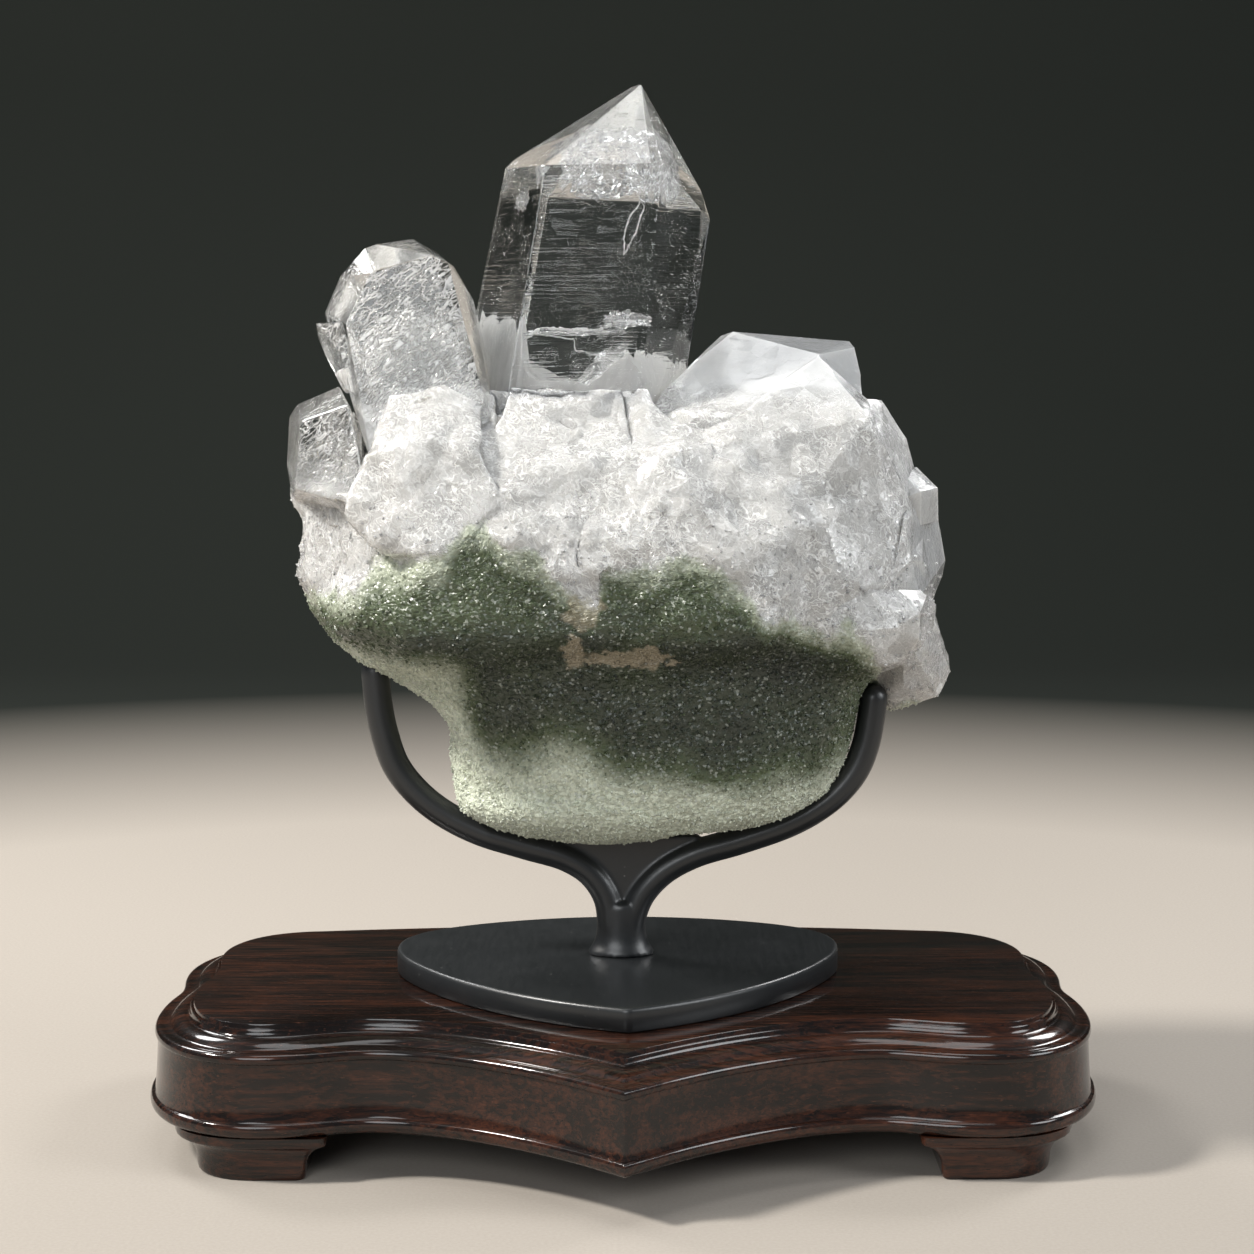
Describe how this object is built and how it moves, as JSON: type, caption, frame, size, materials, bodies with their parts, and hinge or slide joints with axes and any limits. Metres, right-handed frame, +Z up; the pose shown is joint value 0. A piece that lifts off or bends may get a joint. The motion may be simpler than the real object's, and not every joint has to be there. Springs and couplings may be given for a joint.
{
  "type": "chlorite quartz crystal on stand",
  "caption": "Quartz crystal cluster with a green chlorite druse below, resting in a black metal fork on a plate and a moulded dark wooden base with bracket feet.",
  "frame": {"origin": "under the middle of the base, on the surface that its feet stand on", "axes": "+Z up; -Y towards the viewer, the way the base's front point faces; +X to the right seen from the front"},
  "size_m": [0.1932, 0.1242, 0.2145],
  "materials": {
    "quartz": "clear to milky quartz with a green chlorite druse below",
    "black_metal": "satin black powder coat",
    "dark_wood": "very dark red-brown wood under gloss lacquer"
  },
  "bodies": {
    "root": {"quartz_cluster": "quartz", "support_fork": "black_metal", "stand_plate": "black_metal", "wood_base": "dark_wood", "foot_front_left": "dark_wood", "foot_back_left": "dark_wood", "foot_front_right": "dark_wood", "foot_back_right": "dark_wood"}
  },
  "joints": []
}
